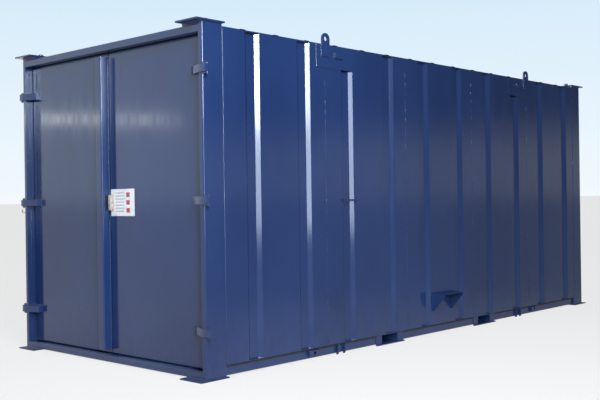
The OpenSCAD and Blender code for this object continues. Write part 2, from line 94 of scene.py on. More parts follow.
def linear(code: str) -> tuple[float, float, float, float]:
    """Turns a colour as it looks on a screen to the numbers a shader takes.

    Args:
        code: An sRGB colour as "#rrggbb".

    Returns:
        Linear red, green, blue and an alpha of one.
    """
    parts = [int(code[i : i + 2], 16) / 255 for i in (1, 3, 5)]
    bent = [p / 12.92 if p <= 0.04045 else ((p + 0.055) / 1.055) ** 2.4 for p in parts]
    return (bent[0], bent[1], bent[2], 1.0)


def add_node(
    tree: Tree,
    kind: str,
    inputs: Optional[dict] = None,
    stops: Optional[list] = None,
    give: int | str = 0,
    **settings: object,
) -> Optional[Socket]:
    """Adds one node, with its settings, values and links.

    Args:
        tree: The node tree it goes in.
        kind: The node's type without its "ShaderNode" start.
        inputs: Socket name or number to a value, or to the output that feeds it.
        stops: For a colour ramp, pairs of place and linear colour.
        give: Name or number of the output to give back.
        settings: Properties of the node.

    Returns:
        That output, or None where the node has no outputs.
    """
    node = tree.nodes.new("ShaderNode" + kind)
    for name, value in settings.items():
        setattr(node, name, value)
    if stops:
        ramp = node.color_ramp
        while len(ramp.elements) < len(stops):
            ramp.elements.new(0.5)
        for element, (place, colour) in zip(ramp.elements, stops):
            element.position = place
            element.color = colour
    for socket, value in (inputs or {}).items():
        if isinstance(value, Socket):
            tree.links.new(value, node.inputs[socket])
        else:
            node.inputs[socket].default_value = value
    return node.outputs[give] if node.outputs else None


# ---- finishes --------------------------------------------------------------


@dataclass(frozen=True)
class Finish:
    """What every finish has: a name and a roughness. Each kind paints its own shader."""

    name: str
    roughness: float

    def material(self) -> bpy.types.Material:
        """Makes the material, or gives the one that was made before.

        Returns:
            The material with its nodes.
        """
        known = bpy.data.materials.get(self.name)
        if known:
            return known
        made = bpy.data.materials.new(self.name)
        made.use_nodes = True
        tree = made.node_tree
        tree.nodes.clear()
        place = add_node(tree, "TexCoord", give="Object")
        shader = add_node(tree, "BsdfPrincipled", self.paint(tree, place))
        add_node(tree, "OutputMaterial", {"Surface": shader})
        return made

    def paint(self, tree: Tree, place: Socket) -> dict:
        """Makes this finish's colour, roughness and relief.

        Args:
            tree: The material's node tree.
            place: The point on the piece, in metres.

        Returns:
            The principled shader's inputs, each with its value or what feeds it.
        """
        raise NotImplementedError

    def noise(self, tree: Tree, place: Socket, grain: Point, detail: float = 2.0) -> Socket:
        """A noise whose grains have the given real size.

        Args:
            tree: The material's node tree.
            place: The point on the piece, in metres.
            grain: The size of one grain along X, Y and Z, in metres.
            detail: How many finer layers it has.

        Returns:
            The noise's strength, from 0 to 1.
        """
        spread = add_node(tree, "Mapping", {"Vector": place, "Scale": tuple(1 / g for g in grain)})
        return add_node(tree, "TexNoise", {"Vector": spread, "Scale": 1.0, "Detail": detail})

    def between(self, tree: Tree, strength: Socket, low: float, high: float) -> Socket:
        """Stretches a strength of 0.3 to 0.7, where noise mostly lies, over low to high.

        Args:
            tree: The material's node tree.
            strength: The number to stretch.
            low: What 0.3 becomes.
            high: What 0.7 becomes.

        Returns:
            The stretched number.
        """
        return add_node(tree, "MapRange", {"Value": strength, 1: 0.3, 2: 0.7, 3: low, 4: high})


# Two-pack polyurethane enamel, sprayed on folded mild steel: a deep navy with a wet gloss,
# a slight orange peel, and reflections that bend a little where the thin sheet waves. The
# peel is drawn 7 mm wide, at the coarse end of what a spray gun leaves, so that it shows.
@dataclass(frozen=True)
class GlossEnamel(Finish):
    """Navy gloss enamel on steel."""

    colour: str = "#122448"
    thin_coat: str = "#192c52"
    coat_patch: Point = (0.8, 0.8, 1.3)
    dust_colour: str = "#8b8d93"
    dust: float = 0.03
    dust_top: float = 0.55
    dust_above: float = 0.12
    speck: Point = (0.05, 0.05, 0.09)
    wipe: Point = (0.035, 0.035, 1.6)
    wave: Point = (0.42, 0.42, 1.092)
    wave_height: float = 0.0016
    peel: Point = (0.007, 0.007, 0.007)
    peel_height: float = 0.00003
    ior: float = 1.5
    ripple: Point = (0.008, 0.008, 0.0045)
    ripple_height: float = 0.0

    def paint(self, tree: Tree, place: Socket) -> dict:
        """Sprayed navy with a film of dust low down and wiped streaks. Args as Finish.paint."""
        cloud = self.noise(tree, place, self.coat_patch, 3.0)
        coat = add_node(
            tree,
            "ValToRGB",
            {0: cloud},
            [(0.32, linear(self.colour)), (0.72, linear(self.thin_coat))],
        )
        height = add_node(tree, "SeparateXYZ", {0: place}, give="Z")
        low_down = add_node(
            tree,
            "MapRange",
            {"Value": height, 1: 0.0, 2: self.dust_top, 3: 1.0, 4: self.dust_above},
        )
        specks = self.between(tree, self.noise(tree, place, self.speck, 6.0), 0.1, 1.0)
        film = add_node(tree, "Math", {0: low_down, 1: specks}, operation="MULTIPLY")
        dusty = add_node(
            tree, "Math", {0: film, 1: self.dust}, operation="MULTIPLY", use_clamp=True
        )
        colour = add_node(
            tree,
            "Mix",
            {"Factor": dusty, 6: coat, 7: linear(self.dust_colour)},
            data_type="RGBA",
            give=2,
        )
        wiped = self.noise(tree, place, self.wipe, 2.0)
        even = self.between(tree, wiped, self.roughness - 0.02, self.roughness + 0.04)
        worn = add_node(tree, "Math", {0: dusty, 1: 1.2, 2: even}, operation="MULTIPLY_ADD")

        relief = {}
        for grain, detail, depth in (
            (self.wave, 1.0, self.wave_height),
            (self.peel, 1.0, self.peel_height),
            (self.ripple, 2.0, self.ripple_height),
        ):
            if depth:
                layer = self.noise(tree, place, grain, detail)
                bump = {"Height": layer, "Strength": 1.0, "Distance": depth, **relief}
                relief = {"Normal": add_node(tree, "Bump", bump)}
        return {"Base Color": colour, "IOR": self.ior, "Roughness": worn, **relief}


# Birch plywood flooring, rotary cut and sanded: a pale brown sheet with long soft grain,
# a change of tone from sheet to sheet, and scuffs where loads were dragged in.
@dataclass(frozen=True)
class Plywood(Finish):
    """Sanded plywood for the floor."""

    pale: str = "#b89468"
    brown: str = "#8f6c43"
    scuff: str = "#6d5c49"
    grain: Point = (0.45, 0.006, 0.006)
    grain_height: float = 0.0006
    tone: Point = (1.6, 0.6, 1.0)
    drag: Point = (0.03, 0.5, 0.1)

    def paint(self, tree: Tree, place: Socket) -> dict:
        """Long grain along the sheets, with tone and scuffs. Args as Finish.paint."""
        streak = self.noise(tree, place, self.grain, 4.0)
        tone = self.noise(tree, place, self.tone, 2.0)
        both = add_node(tree, "Math", {0: streak, 1: tone}, operation="ADD")
        mean = add_node(tree, "Math", {0: both, 1: 0.5}, operation="MULTIPLY")
        wood = add_node(
            tree, "ValToRGB", {0: mean}, [(0.36, linear(self.brown)), (0.62, linear(self.pale))]
        )
        drag = self.between(tree, self.noise(tree, place, self.drag, 4.0), -1.2, 0.7)
        mark = add_node(tree, "Math", {0: drag, 1: 0.5}, operation="MULTIPLY", use_clamp=True)
        colour = add_node(
            tree, "Mix", {"Factor": mark, 6: wood, 7: linear(self.scuff)}, data_type="RGBA", give=2
        )
        relief = add_node(
            tree, "Bump", {"Height": streak, "Strength": 0.6, "Distance": self.grain_height}
        )
        rough = self.between(tree, tone, self.roughness - 0.08, self.roughness + 0.1)
        return {"Base Color": colour, "Roughness": rough, "Normal": relief}


# Zinc plating, dull and passivated: a grey metal with a warm cast and a cloudy bloom.
@dataclass(frozen=True)
class ZincPlate(Finish):
    """Zinc-plated steel."""

    bright: str = "#cfc8ba"
    bloom: str = "#a19a8b"
    bloom_size: Point = (0.012, 0.012, 0.02)
    metallic: float = 0.8
    line: Point = (0.004, 0.004, 0.03)
    line_height: float = 0.0002

    def paint(self, tree: Tree, place: Socket) -> dict:
        """A cloudy metal with fine polishing lines. Args as Finish.paint."""
        cloud = self.noise(tree, place, self.bloom_size, 4.0)
        colour = add_node(
            tree, "ValToRGB", {0: cloud}, [(0.35, linear(self.bloom)), (0.65, linear(self.bright))]
        )
        rough = self.between(tree, cloud, self.roughness + 0.12, self.roughness - 0.05)
        lines = self.noise(tree, place, self.line, 2.0)
        relief = add_node(
            tree, "Bump", {"Height": lines, "Strength": 0.5, "Distance": self.line_height}
        )
        return {
            "Base Color": colour,
            "Metallic": self.metallic,
            "Roughness": rough,
            "Normal": relief,
        }


# Laminated sheet, printed flat and cut: an even face with a satin skin and handling marks.
@dataclass(frozen=True)
class PrintedSheet(Finish):
    """A plain printed or moulded sheet in one colour, faintly mottled."""

    colour: str = "#c6c6c9"
    soiled: str = "#b9b8bc"
    mottle: float = 0.03
    relief: float = 0.0001

    def paint(self, tree: Tree, place: Socket) -> dict:
        """One colour with faint mottling and a fine skin. Args as Finish.paint."""
        cloud = self.noise(tree, place, (self.mottle,) * 3, 4.0)
        colour = add_node(
            tree, "ValToRGB", {0: cloud}, [(0.35, linear(self.soiled)), (0.6, linear(self.colour))]
        )
        rough = self.between(tree, cloud, self.roughness + 0.08, self.roughness - 0.04)
        skin = self.noise(tree, place, (self.mottle / 8,) * 3, 2.0)
        bump = add_node(tree, "Bump", {"Height": skin, "Strength": 0.5, "Distance": self.relief})
        return {"Base Color": colour, "Roughness": rough, "Normal": bump}


ENAMEL = GlossEnamel("gloss_enamel_sprayed", 0.1)
# The same enamel over a run of weld: the ripples of the bead show through it
WELD_ENAMEL = GlossEnamel("gloss_enamel_over_weld", 0.14, wave_height=0.0, ripple_height=0.0012)
PLYWOOD = Plywood("birch_plywood_sanded", 0.55)
ZINC = ZincPlate("zinc_plate_dull", 0.38)
NOTICE = PrintedSheet("laminated_sheet_white", 0.35)
# Self-adhesive vinyl, cut to shape: flat, even colour with a satin face
MARK_RED = PrintedSheet("vinyl_cut_red", 0.4, colour="#9c352e", soiled="#84302b")
RULE_GREY = PrintedSheet("vinyl_cut_grey", 0.45, colour="#8d9196", soiled="#82868b")
# EPDM rubber, extruded, for the door seals: nearly black, matt, with a bloom of talc. The
# rods of it under the walls' lip are painted shade, standing for the shadow under the lip
RUBBER = PrintedSheet(
    "epdm_rubber_extruded", 0.6, colour="#1b1c1e", soiled="#2a2b2d", mottle=0.02, relief=0.0003
)
# Carbon steel, drilled or left unpainted: dark and oily. On the lock keep a thin block of it
# is painted shade, standing for the shade inside the bolt's slot
DARK_STEEL = PrintedSheet(
    "carbon_steel_oiled", 0.4, colour="#17181b", soiled="#0d0e10", mottle=0.01
)


# ---- the bench: modelling by hand ------------------------------------------


@dataclass(frozen=True)
class Bench:
    """Adds, shapes and joins pieces with Blender's own operators.

    Attributes:
        rim: The angle that only the ends of a rod turn more than.
        chamfer: How much of a rod's radius its chamfers take.
        sunk: How much of its height a weld bead is sunk in the sheet.
    """

    rim: float = math.radians(60)
    chamfer: float = 0.35
    sunk: float = 0.25

    def clear(self) -> None:
        """Leaves nothing selected, in object mode."""
        if bpy.context.object and bpy.context.object.mode != "OBJECT":
            bpy.ops.object.mode_set(mode="OBJECT")
        bpy.ops.object.select_all(action="DESELECT")

    def take(self, *pieces: Piece) -> None:
        """Selects these pieces and no others, the first as the active one."""
        self.clear()
        for piece in pieces:
            piece.select_set(True)
        bpy.context.view_layer.objects.active = pieces[0]

    def settle(self, piece: Piece) -> Piece:
        """Puts a piece's place, turn and scale in its mesh, and gives the piece back."""
        self.take(piece)
        bpy.ops.object.transform_apply(location=True, rotation=True, scale=True)
        return piece

    def named(self, name: str) -> Piece:
        """Names the piece that was just added, settles it and gives it back."""
        piece = bpy.context.object
        piece.name = piece.data.name = name
        return self.settle(piece)

    def pick_edges(self, piece: Piece, wanted: Callable[[Edge], bool]) -> int:
        """Selects the edges of a piece in edit mode that pass a test.

        Args:
            piece: The piece, open for editing.
            wanted: The test for one edge.

        Returns:
            How many edges were selected.
        """
        bpy.ops.mesh.select_mode(type="EDGE")
        bpy.ops.mesh.select_all(action="DESELECT")
        mesh = bmesh.from_edit_mesh(piece.data)
        mesh.edges.ensure_lookup_table()
        mesh.normal_update()
        chosen = [e for e in mesh.edges if len(e.link_faces) == 2 and wanted(e)]
        for edge in chosen:
            edge.select = True
        mesh.select_flush_mode()
        bmesh.update_edit_mesh(piece.data)
        return len(chosen)

    def soften(self, piece: Piece, edge: float, segments: int = 2) -> Piece:
        """Rounds every sharp edge of a piece.

        Args:
            piece: The piece.
            edge: Radius of the rounding, in metres.
            segments: How many facets each rounding has.

        Returns:
            The same piece.
        """
        self.take(piece)
        bpy.ops.object.mode_set(mode="EDIT")
        if self.pick_edges(piece, lambda e: e.calc_face_angle(0.0) > SHARP):
            bpy.ops.mesh.bevel(offset=edge, segments=segments, affect="EDGES", clamp_overlap=True)
        bpy.ops.object.mode_set(mode="OBJECT")
        return self.smooth(piece)

    def smooth(self, piece: Piece, angle: float = 35.0) -> Piece:
        """Shades roundings smooth and keeps flats flat.

        Args:
            piece: The piece.
            angle: Edges sharper than this many degrees stay crisp.

        Returns:
            The same piece.
        """
        self.take(piece)
        bpy.ops.object.shade_smooth_by_angle(angle=math.radians(angle))
        even = piece.modifiers.new("even", "WEIGHTED_NORMAL")
        even.keep_sharp = True
        bpy.ops.object.modifier_apply(modifier=even.name)
        return piece

    def block(self, name: str, low: Point, high: Point, edge: float) -> Piece:
        """A block between two corners, with rounded edges.

        Args:
            name: The piece's name.
            low: Its lowest corner.
            high: Its highest corner.
            edge: Radius of its edges.

        Returns:
            The new piece.
        """
        self.clear()
        middle = [(a + b) / 2 for a, b in zip(low, high)]
        size = [b - a for a, b in zip(low, high)]
        bpy.ops.mesh.primitive_cube_add(size=1, location=middle, scale=size)
        return self.soften(self.named(name), edge)

    def rod(
        self, name: str, middle: Point, axis: Axis, length: float, radius: float, sides: int = 12
    ) -> Piece:
        """A round rod with chamfered ends.

        Args:
            name: The piece's name.
            middle: The rod's middle.
            axis: The direction it runs in.
            length: Its length.
            radius: Its radius.
            sides: How many facets it has.

        Returns:
            The new piece.
        """
        self.clear()
        turn = {Axis.X: (0, math.pi / 2, 0), Axis.Y: (math.pi / 2, 0, 0), Axis.Z: (0, 0, 0)}
        bpy.ops.mesh.primitive_cylinder_add(
            vertices=sides, radius=radius, depth=length, location=middle, rotation=turn[axis]
        )
        piece = self.named(name)
        bpy.ops.object.mode_set(mode="EDIT")
        self.pick_edges(piece, lambda e: e.calc_face_angle(0.0) > self.rim)
        bpy.ops.mesh.bevel(
            offset=self.chamfer * radius, segments=2, affect="EDGES", clamp_overlap=True
        )
        bpy.ops.object.mode_set(mode="OBJECT")
        return self.smooth(piece, 50)

    def bead(self, name: str, middle: Point, axis: Axis, out: Axis, half: Point) -> Piece:
        """One short weld bead, flat on its back where it lies on the sheet.

        Args:
            name: The piece's name.
            middle: The bead's middle, on the sheet's face.
            axis: The direction the bead runs in.
            out: The direction its crown faces, with the sign of half along it.
            half: Half its length, half its width and its height, the last signed.

        Returns:
            The new piece.
        """
        self.clear()
        long, wide, proud = half
        size = [wide, wide, wide]
        size[axis.value] = long
        size[out.value] = abs(proud)
        bpy.ops.mesh.primitive_uv_sphere_add(
            segments=8, ring_count=6, radius=1, location=middle, scale=size
        )
        piece = self.named(name)
        bpy.ops.object.mode_set(mode="EDIT")
        bpy.ops.mesh.select_all(action="SELECT")
        facing = [0.0, 0.0, 0.0]
        facing[out.value] = math.copysign(1.0, proud)
        root = [m - self.sunk * abs(proud) * f for m, f in zip(middle, facing)]
        bpy.ops.mesh.bisect(plane_co=root, plane_no=facing, use_fill=True, clear_inner=True)
        bpy.ops.object.mode_set(mode="OBJECT")
        return self.smooth(piece, 60)

    def row(self, piece: Piece, step: Point, count: int) -> Piece:
        """Repeats a piece in a straight row, as one mesh.

        Args:
            piece: The first of the row.
            step: From each to the next.
            count: How many there are.

        Returns:
            The piece with its whole row.
        """
        self.take(piece)
        array = piece.modifiers.new("row", "ARRAY")
        array.use_relative_offset = False
        array.use_constant_offset = True
        array.constant_offset_displace = step
        array.count = count
        bpy.ops.object.modifier_apply(modifier=array.name)
        return piece

    def mirrored(self, piece: Piece, axis: Axis) -> Piece:
        """A copy of a piece on the other side of the cabin's middle.

        Args:
            piece: The piece to copy.
            axis: The direction across which it is mirrored.

        Returns:
            The new piece, with its faces pointing outwards.
        """
        self.take(piece)
        bpy.ops.object.duplicate(linked=False)
        twin = bpy.context.object
        twin.scale[axis.value] = -1
        self.settle(twin)
        bpy.ops.object.mode_set(mode="EDIT")
        bpy.ops.mesh.select_all(action="SELECT")
        bpy.ops.mesh.normals_make_consistent(inside=False)
        bpy.ops.object.mode_set(mode="OBJECT")
        return twin

    def join(self, name: str, pieces: Iterable[Piece]) -> Piece:
        """Joins pieces to one mesh with this name, and gives it back."""
        kept = list(pieces)
        self.take(*kept)
        if len(kept) > 1:
            bpy.ops.object.join()
        joined = bpy.context.object
        joined.name = joined.data.name = name
        return joined


BENCH = Bench()


def dress(piece: Piece, body: Body, finish: Finish) -> Piece:
    """Gives a new piece its finish and the body it rides on.

    Args:
        piece: The piece, finished and in its place.
        body: The body it moves with.
        finish: Its finish.

    Returns:
        The same piece.
    """
    piece.data.materials.clear()
    piece.data.materials.append(finish.material())
    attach(piece, body.value)
    log.info("%s rides on %s, %d faces", piece.name, body.value, len(piece.data.polygons))
    return piece


def dress_pair(right: Piece, finish: Finish = WELD_ENAMEL) -> None:
    """Dresses a piece of the cabin's right side, and its mirror image on the left side.

    Args:
        right: The piece, whose name ends in "right".
        finish: The finish of both.
    """
    left = BENCH.mirrored(right, Axis.X)
    left.name = right.name.removesuffix("right") + "left"
    for piece in (right, left):
        dress(piece, Body.CABIN, finish)


def dress_corners(front: Piece) -> None:
    """Dresses a piece at the front right, and its mirror images at the other corners."""
    rear = BENCH.mirrored(front, Axis.Y)
    rear.name = front.name.replace("front", "rear")
    for piece in (front, rear):
        dress_pair(piece)


class Assembly:
    """A sub-assembly: its parts are built first and then dressed."""

    def build(self) -> None:
        """Redraws the parts that the frame holds."""
        raise NotImplementedError

    def dress(self) -> None:
        """Adds what the frame doesn't hold: nothing, unless a sub-assembly says so."""


# ---- folded steel ----------------------------------------------------------


@dataclass(frozen=True)
class SteelPart:
    """A part of the frame, redrawn with the rounded folds and edges of real steel.

    Attributes:
        node: The part's name in the frame.
        body: The body it moves with.
        along: The direction its folds run in, or None where it has none.
        fold: Outside radius of a fold.
        edge: Radius on a cut edge, or 0 to leave them.
        both_ways: True where folds turn inwards as well as outwards.
    """

    node: str
    body: Body = Body.CABIN
    along: Optional[Axis] = None
    fold: float = 0.005
    edge: float = 0.001
    both_ways: bool = False

    def is_fold(self, edge: Edge) -> bool:
        """True for a long edge between two wide faces, in the direction of the folds."""
        line = edge.verts[1].co - edge.verts[0].co
        if line.length < 4 * self.fold or abs(line.normalized()[self.along.value]) < 0.999:
            return False
        if not (self.both_ways or edge.is_convex):
            return False
        wide = min(face.calc_area() for face in edge.link_faces) / line.length
        return edge.calc_face_angle(0.0) > math.radians(12) and wide > 2.4 * self.fold

    def is_cut(self, edge: Edge) -> bool:
        """True for a sharp outward edge that is long enough to round."""
        return (
            edge.is_convex
            and edge.calc_face_angle(0.0) > SHARP
            and edge.calc_length() > 3 * self.edge
        )

    def build(self) -> Piece:
        """Redraws the part with its roundings.

        Returns:
            The new piece, which stands for the part.
        """
        BENCH.clear()
        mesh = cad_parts[self.node].data.copy()
        piece = bpy.data.objects.new(self.node + "_steel", mesh)
        bpy.context.scene.collection.objects.link(piece)
        BENCH.take(piece)
        bpy.ops.object.mode_set(mode="EDIT")
        bpy.ops.mesh.select_mode(type="VERT")
        bpy.ops.mesh.select_all(action="SELECT")
        bpy.ops.mesh.remove_doubles(threshold=0.00002)
        bpy.ops.mesh.dissolve_limited(angle_limit=math.radians(0.4))
        if self.along and BENCH.pick_edges(piece, self.is_fold):
            bpy.ops.mesh.bevel(offset=self.fold, segments=4, affect="EDGES", clamp_overlap=False)
        if self.edge and BENCH.pick_edges(piece, self.is_cut):
            bpy.ops.mesh.bevel(offset=self.edge, segments=2, affect="EDGES", clamp_overlap=True)
        bpy.ops.object.mode_set(mode="OBJECT")
        return BENCH.smooth(piece)

    def finished(self, finish: Finish = ENAMEL) -> None:
        """Builds the part, paints it and hides its node."""
        piece = dress(self.build(), self.body, finish)
        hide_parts(self.node)


# ---- sub-assemblies --------------------------------------------------------


@dataclass
class SteelFrame(Assembly):
    """Posts, sills, headers and rails: the welded skeleton of the cabin."""

    post_fold: float = 0.014
    rail_fold: float = 0.005
    weld_radius: float = 0.004
    foot_top: float = 0.010
    head_top: float = 2.583
    box_inner: float = 1.001
    recess_lines: tuple[float, float] = (0.013, 0.040)
    recess_face: float = 1.177
    recess_ends: tuple[float, float] = (0.14, 2.46)
    recess_stitch: Point = (0.024, 0.0028, -0.0022)
    recess_start: float = 0.03
    recess_pitch: float = 0.07
    recess_run: float = 0.0028
    hinge_room: float = 0.065

    def build(self) -> None:
        """Redraws the folded parts and keeps the hidden rails as they are."""
        for end in ("front", "rear"):
            for side in ("left", "right"):
                SteelPart(f"post_{end}_{side}", along=Axis.Z, fold=self.post_fold).finished()
        for node in ("front_header", "front_sill", "rear_header", "rear_sill"):
            SteelPart(node, along=Axis.X, fold=self.rail_fold).finished()
        for node in ("bottom_rail_left", "bottom_rail_right"):
            SteelPart(node, along=Axis.Y, fold=self.rail_fold, edge=0.0008).finished()

    def dress(self) -> None:
        """Adds the fillets at the posts' ends and the runs inside the door rebate."""
        low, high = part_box("post_front_right")
        runs = []
        for height in (self.foot_top, self.head_top):
            for middle, axis, length in (
                ((high.x, (low.y + high.y) / 2, height), Axis.Y, high.y - low.y),
                (((self.box_inner + high.x) / 2, low.y, height), Axis.X, high.x - self.box_inner),
            ):
                runs.append(BENCH.rod("run", middle, axis, length, self.weld_radius))
        dress_corners(BENCH.join("post_end_welds_front_right", runs))
        self.rebate_welds(low.y)

    def rebate_welds(self, front: float) -> None:
        """Runs two lines of weld down each post's inner face, clear of the hinges.

        Args:
            front: Where the front plane is, along Y.
        """
        outer, inner = (front + line for line in self.recess_lines)
        lows = [self.recess_ends[0], *(z + self.hinge_room for z in HINGE_HEIGHTS)]
        highs = [*(z - self.hinge_room for z in HINGE_HEIGHTS), self.recess_ends[1]]
        beads = []
        for z0, z1 in zip(lows, highs):
            first = (self.recess_face, outer, z0 + self.recess_start)
            stitched = BENCH.bead("run", first, Axis.Z, Axis.X, self.recess_stitch)
            count = int((z1 - z0 - self.recess_start) / self.recess_pitch)
            beads.append(BENCH.row(stitched, (0, 0, self.recess_pitch), count))
            beads.append(
                BENCH.rod(
                    "run",
                    (self.recess_face, inner, (z0 + z1) / 2),
                    Axis.Z,
                    z1 - z0,
                    self.recess_run,
                )
            )
        dress_pair(BENCH.join("rebate_welds_right", beads))


@dataclass
class GroovedWalls(Assembly):
    """Pressed wall sheets, with the stitch welds that join them."""

    panels: int = 5
    lap: float = 0.017
    fold: float = 0.005
    long_bead: Point = (0.023, 0.0034, 0.0028)
    short_bead: Point = (0.010, 0.0030, 0.0022)
    short_start: float = 0.045
    short_every: int = 3
    pitch: float = 0.081
    margin: float = 0.04
    pad_gap: float = 0.02
    seam_sunk: float = 0.0053
    seam_radius: float = 0.006
    setback: float = 0.025
    sheet: float = 0.004
    # radius of the dark rods under the lip, which are painted shade for the lip's shadow
    lip_shadow_radius: float = 0.0105

    def build(self) -> None:
        """Redraws the three walls with round folds."""
        for node in ("side_wall_left", "side_wall_right", "rear_wall"):
            SteelPart(node, along=Axis.Z, fold=self.fold, edge=0.0, both_ways=True).finished()

    def stitches(self, place: Point, out: Axis, top: float) -> list[Piece]:
        """One upright line of long and short beads.

        Args:
            place: Where the lowest bead starts, on the sheet's face.
            out: The direction the wall faces.
            top: How high the line goes.

        Returns:
            The rows of the line.
        """
        rows = []
        for bead, start, step in (
            (self.long_bead, 0.0, self.pitch),
            (self.short_bead, self.short_start, self.short_every * self.pitch),
        ):
            lowest = (place[0], place[1], place[2] + start)
            first = BENCH.bead("stitch", lowest, Axis.Z, out, bead)
            count = max(1, int((top - place[2] - start) / step))
            rows.append(BENCH.row(first, (0, 0, step), count))
        return rows

    def dress(self) -> None:
        """Adds the welds of the sheet joints, and of the walls to the posts."""
        low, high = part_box("side_wall_right")
        pitch = (high.y - low.y) / self.panels
        under_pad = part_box("backing_plates")[0].z - self.pad_gap
        seam = (high.x - self.seam_sunk, low.y, (low.z + high.z) / 2)
        rows = [BENCH.rod("run", seam, Axis.Z, high.z - low.z, self.seam_radius)]
        # painted shade: dark rods that stand for the shadow under the walls' lips
        self.lip_shadow_strips(low, high)
        for i in range(1, self.panels + 1):
            inside = i < self.panels
            y = low.y + i * pitch + (self.lap if inside else 0.0)
            top = under_pad if i in (1, self.panels - 1) else high.z - self.margin
            rows += self.stitches((high.x, y, low.z + self.margin), Axis.X, top)
        dress_pair(BENCH.join("side_seam_welds_right", rows))
        low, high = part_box("rear_wall")
        rows = []
        for x in (low.x, self.lap, high.x):
            rows += self.stitches((x, high.y, low.z + self.margin), Axis.Y, high.z - self.margin)
        dress(BENCH.join("rear_seam_welds", rows), Body.CABIN, WELD_ENAMEL)

    def lip_shadow_strips(self, low: Vector, high: Vector) -> None:
        """Paints the shadow under the side walls' lips with dark rods, clear of the fork pockets.

        Args:
            low: The lowest corner of the right wall's box.
            high: Its highest corner.
        """
        stops = [low.y]
        for node in ("fork_pocket_front", "fork_pocket_rear"):
            stops += [corner.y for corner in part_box(node)]
        stops.append(high.y)
        under_lip = low.z - self.sheet - self.lip_shadow_radius
        beads = [
            BENCH.rod(
                "bead",
                (high.x - self.setback, (y0 + y1) / 2, under_lip),
                Axis.Y,
                y1 - y0,
                self.lip_shadow_radius,
            )
            for y0, y1 in zip(stops[::2], stops[1::2])
        ]
        dress_pair(BENCH.join("foot_sealer_right", beads), RUBBER)


@dataclass
class Roof(Assembly):
    """The swaged roof sheet and its welds."""

    swage_lead: float = 0.201
    swage_pitch: float = 0.353
    joint_after: tuple[int, ...] = (2, 5, 8, 11)
    bead: Point = (0.034, 0.005, 0.0018)
    step: float = 0.079
    inset: float = 0.05
    end_gap: float = 0.07
    eave_bead: Point = (0.025, 0.003, 0.002)
    eave_drop: float = 0.006
    eave_start: float = 0.1
    eave_step: float = 0.16

    def build(self) -> None:
        """Redraws the sheet with round swages."""
        SteelPart("roof_sheet", along=Axis.X, fold=0.005, edge=0.0008, both_ways=True).finished()

    def dress(self) -> None:
        """Adds the joints across the sheet and the stitches along its two edges."""
        low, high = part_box("roof_sheet")
        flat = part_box("front_header")[1].z
        rows = []
        for after in self.joint_after:
            y = low.y + self.swage_lead + (after + 0.5) * self.swage_pitch
            start = (low.x + self.inset, y, flat)
            first = BENCH.bead("joint", start, Axis.X, Axis.Z, self.bead)
            count = int((high.x - low.x - self.end_gap) / self.step)
            rows.append(BENCH.row(first, (self.step, 0, 0), count))
        dress(BENCH.join("roof_joint_welds", rows), Body.CABIN, WELD_ENAMEL)
        start = (high.x, low.y + self.eave_start, flat - self.eave_drop)
        first = BENCH.bead("edge", start, Axis.Y, Axis.X, self.eave_bead)
        count = int((high.y - low.y - self.eave_start) / self.eave_step)
        right = BENCH.row(first, (0, self.eave_step, 0), count)
        right.name = "eave_welds_right"
        dress_pair(right)


@dataclass
class LiftingPoints(Assembly):
    """Backing plates, lugs and sling keepers on the long sides, with their fillets."""

    lug_place: float = 1.6486
    lug_half: float = 0.047
    lug_low: float = 2.457
    pad_out: float = 0.099
    pad_face: float = 1.227
    ridge_end: float = 0.205
    keeper: tuple[float, float, float, float] = (0.113, 0.213, 2.455, 2.501)
    fillet: float = 0.0045
    small_fillet: float = 0.0036

    def build(self) -> None:
        """Redraws the plates and lugs with eased edges."""
        for node, edge in (
            ("backing_plates", 0.0012), ("lifting_lugs", 0.002), ("sling_keepers", 0.002)
        ):
            SteelPart(node, edge=edge).finished()

    def outline(
        self, face: float, y0: float, y1: float, z0: float, z1: float, radius: float, sides: str
    ) -> list[Piece]:
        """Fillets along the chosen sides of a rectangle on an upright face.

        Args:
            face: Where the face is, along X.
            y0: Where the rectangle starts, along Y.
            y1: Where it ends.
            z0: Its lower edge.
            z1: Its upper edge.
            radius: The fillets' radius.
            sides: Any of the letters f, r, b and t: front, rear, bottom and top.

        Returns:
            One rod for each side.
        """
        middle = ((y0 + y1) / 2, (z0 + z1) / 2)
        return [
            BENCH.rod("fillet", (face, y, z), axis, length, radius, 8)
            for letter, y, z, axis, length in (
                ("f", y0, middle[1], Axis.Z, z1 - z0),
                ("r", y1, middle[1], Axis.Z, z1 - z0),
                ("b", middle[0], z0, Axis.Y, y1 - y0),
                ("t", middle[0], z1, Axis.Y, y1 - y0),
            )
            if letter in sides
        ]

    def dress(self) -> None:
        """Adds the fillets round one lug's parts, and mirrors them to the other three."""
        low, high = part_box("backing_plates")
        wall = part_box("side_wall_right")[1].x
        lug = -self.lug_place
        k0, k1, kz0, kz1 = self.keeper
        start, ridge = lug - self.pad_out, lug + self.ridge_end
        rods = self.outline(wall, start, ridge, low.z, high.z, self.fillet, "fb")
        rods += self.outline(
            self.pad_face, lug - self.lug_half, lug + self.lug_half, self.lug_low, high.z,
            self.fillet, "frb",
        )
        rods += self.outline(
            self.pad_face, lug + k0, lug + k1, kz0, kz1, self.small_fillet, "frbt"
        )
        dress_corners(BENCH.join("lug_welds_front_right", rods))


@dataclass
class Underframe(Assembly):
    """Fork pockets, skids, lashing brackets and the plates at the corners."""

    plate_edge: float = 0.0016
    small_edge: float = 0.001

    def build(self) -> None:
        """Redraws the heavy plates and brackets with eased edges."""
        for node in ("foot_plates", "stacking_plates", "stacking_pegs"):
            SteelPart(node, edge=self.plate_edge).finished()
        for node in ("fork_pocket_front", "fork_pocket_rear", "skid_plates", "lashing_brackets"):
            SteelPart(node, edge=self.small_edge).finished()

    def dress(self) -> None:
        """Paints the parts that stay as the frame draws them."""
        for node in ("floor_bearers", "roof_bows", "top_rail_left", "top_rail_right"):
            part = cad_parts[node]
            part.data.materials.clear()
            part.data.materials.append(ENAMEL.material())
            log.info("%s keeps its shape and is painted", node)


